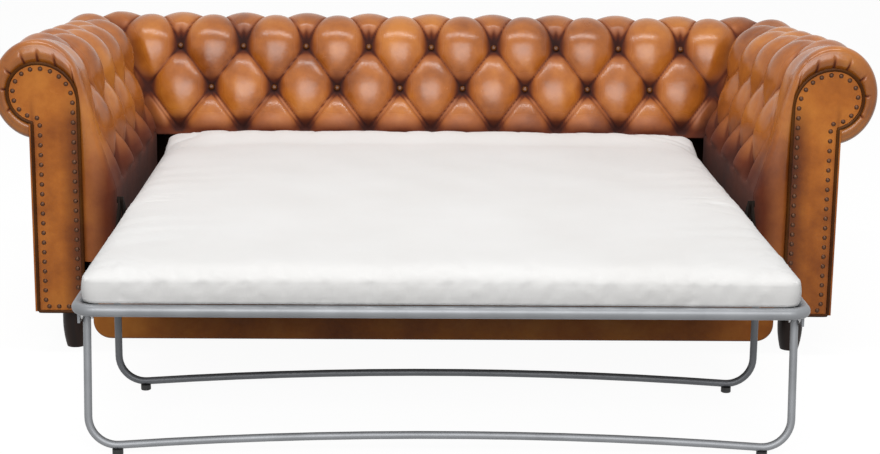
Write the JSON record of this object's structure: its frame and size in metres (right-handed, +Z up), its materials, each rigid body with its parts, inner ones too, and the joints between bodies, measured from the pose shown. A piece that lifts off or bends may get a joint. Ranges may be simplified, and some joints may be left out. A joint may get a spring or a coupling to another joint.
{
  "type": "chesterfield sofa bed",
  "caption": "Buttoned leather chesterfield sofa with rolled arms and back whose two-fold steel bed, with a thin mattress and loop legs, swings down into the seat.",
  "frame": {"origin": "on the floor, in the middle of the overall box of the sofa with its bed open", "axes": "+X to the right seen from the front, +Y from the bed's foot end towards the sofa back, +Z up"},
  "size_m": [2.0698, 1.795, 0.7396],
  "materials": {
    "leather": "satin",
    "frame_timber": "matte",
    "foot_wood": "satin",
    "mattress_cloth": "matte",
    "bed_steel": "satin",
    "dark_steel": "satin",
    "pin_steel": "satin",
    "slat_wood": "matte",
    "cap_plastic": "matte",
    "glide_rubber": "matte"
  },
  "bodies": {
    "sofa": {"arm_pad_left": "leather", "arm_pad_right": "leather", "back_pad": "leather", "arm_border_left": "leather", "arm_border_right": "leather", "arm_facing_left": "leather", "arm_facing_right": "leather", "outside_arm_left": "leather", "outside_arm_right": "leather", "outside_back": "leather", "front_rail": "leather", "arm_buttons_left": "leather", "arm_buttons_right": "leather", "back_buttons": "leather", "arm_frame_left": "frame_timber", "arm_frame_right": "frame_timber", "back_frame": "frame_timber", "base_rail_left": "frame_timber", "base_rail_right": "frame_timber", "front_feet": "foot_wood", "rear_feet": "foot_wood", "lift_plate_left": "dark_steel", "lift_plate_right": "dark_steel", "base_pins": "pin_steel", "plate_bolts": "pin_steel"},
    "front_links": {"front_lift_links": "dark_steel", "front_link_tie": "bed_steel"},
    "rear_links": {"rear_lift_links": "dark_steel", "rear_link_tie": "bed_steel"},
    "rear_section": {"rear_bed_frame": "bed_steel", "rear_hinge_ears": "dark_steel", "lift_brackets": "bed_steel", "lift_pins": "pin_steel", "rear_slats": "slat_wood", "rear_slat_caps": "cap_plastic", "mattress_rear": "mattress_cloth"},
    "front_section": {"front_bed_frame": "bed_steel", "front_hinge_ears": "dark_steel", "fold_pins": "pin_steel", "front_slats": "slat_wood", "front_slat_caps": "cap_plastic", "leg_brackets": "bed_steel", "leg_pins": "pin_steel", "mattress_front": "mattress_cloth"},
    "front_leg": {"front_leg_loop": "bed_steel", "front_leg_glides": "glide_rubber"},
    "mid_leg": {"mid_leg_loop": "dark_steel", "mid_leg_glides": "glide_rubber"}
  },
  "joints": [
    {"name": "bed_fold", "type": "hinge", "parent": "rear_section", "child": "front_section", "pos_m": [0, -0.2275, 0.388], "axis": [-1, 0, 0], "range_deg": [0, 180]},
    {"name": "front_link_swing", "type": "hinge", "parent": "sofa", "child": "front_links", "pos_m": [0, -0.00173, 0.14197], "axis": [-1, 0, 0], "range_deg": [0, 90]},
    {"name": "rear_link_swing", "type": "hinge", "parent": "sofa", "child": "rear_links", "pos_m": [0, 0.35247, 0.14197], "axis": [-1, 0, 0], "range_deg": [0, 90]},
    {"name": "lift_pivot", "type": "hinge", "parent": "front_links", "child": "rear_section", "pos_m": [0, -0.0243, 0.27], "axis": [1, 0, 0], "range_deg": [0, 90]},
    {"name": "front_leg_fold", "type": "hinge", "parent": "front_section", "child": "front_leg", "pos_m": [0, -0.8357, 0.281], "axis": [1, 0, 0], "range_deg": [0, 96]},
    {"name": "mid_leg_fold", "type": "hinge", "parent": "front_section", "child": "mid_leg", "pos_m": [0, -0.4352, 0.281], "axis": [1, 0, 0], "range_deg": [0, 90]}
  ],
  "couplings": [
    {"joint": "front_link_swing", "follows": "bed_fold", "ratio": 0.5},
    {"joint": "rear_link_swing", "follows": "bed_fold", "ratio": 0.5},
    {"joint": "lift_pivot", "follows": "bed_fold", "ratio": 0.5},
    {"joint": "front_leg_fold", "follows": "bed_fold", "ratio": 0.53333},
    {"joint": "mid_leg_fold", "follows": "bed_fold", "ratio": 0.5}
  ]
}
